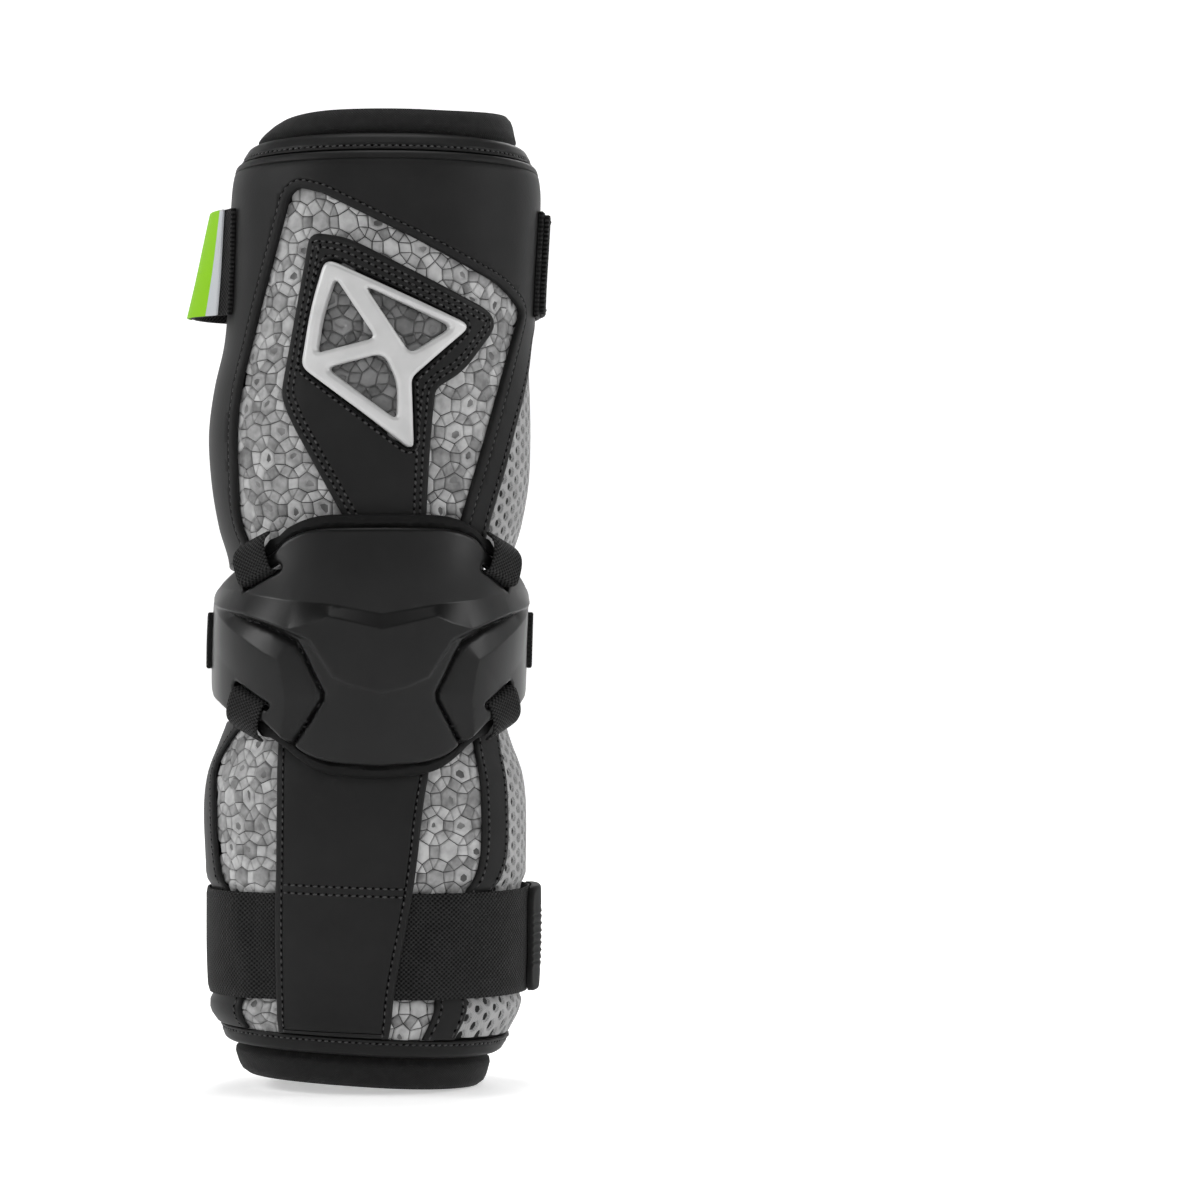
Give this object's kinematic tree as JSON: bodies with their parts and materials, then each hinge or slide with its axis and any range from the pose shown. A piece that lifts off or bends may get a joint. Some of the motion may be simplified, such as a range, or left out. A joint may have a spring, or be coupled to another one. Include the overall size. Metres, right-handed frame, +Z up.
{
  "type": "lacrosse arm pad",
  "caption": "Padded sleeve worn on one arm, with a windowed upper-arm guard, a moulded elbow cap on webbing loops, a forearm guard and fastening straps.",
  "frame": {"origin": "on the arm's axis at the height of the elbow", "axes": "+Z up the arm to the shoulder end, -Y out through the elbow cap, +X to the right as seen from the cap's side"},
  "size_m": [0.1316, 0.1179, 0.347],
  "materials": {
    "stretch_knit": "matt black stretch knit",
    "coated_cloth": "smooth matt black coated cloth, lockstitched",
    "cell_foam": "light grey moulded cells with dark gaps",
    "spacer_mesh": "grey perforated spacer mesh over foam",
    "vent_film": "smoky grey film over cells",
    "silver_frame": "silver-grey moulded frame, satin",
    "cap_plastic": "black moulded plastic, satin",
    "cap_rubber": "black moulded rubber, matt",
    "webbing": "black woven webbing",
    "label_cloth": "bright green and pale grey woven label"
  },
  "bodies": {
    "root": {"sleeve_upper": "stretch_knit", "sleeve_elbow": "stretch_knit", "sleeve_lower": "stretch_knit", "top_collar": "coated_cloth", "bottom_collar": "coated_cloth", "upper_pad": "cell_foam", "upper_side_pad": "spacer_mesh", "upper_shell": "coated_cloth", "kite_patch": "coated_cloth", "vent_backing": "vent_film", "vent_frame": "silver_frame", "elbow_cap": "cap_plastic", "cap_base": "cap_rubber", "cap_strap_upper_left": "webbing", "cap_strap_upper_right": "webbing", "cap_strap_lower_left": "webbing", "cap_strap_lower_right": "webbing", "lower_pad": "cell_foam", "lower_side_pad": "spacer_mesh", "lower_trim": "coated_cloth", "lower_left_panel": "coated_cloth", "lower_centre_panel": "coated_cloth", "forearm_strap": "webbing", "forearm_strap_tab": "webbing", "upper_strap": "webbing", "upper_strap_tab": "webbing", "strap_label": "label_cloth", "elbow_strap": "webbing"}
  },
  "joints": []
}
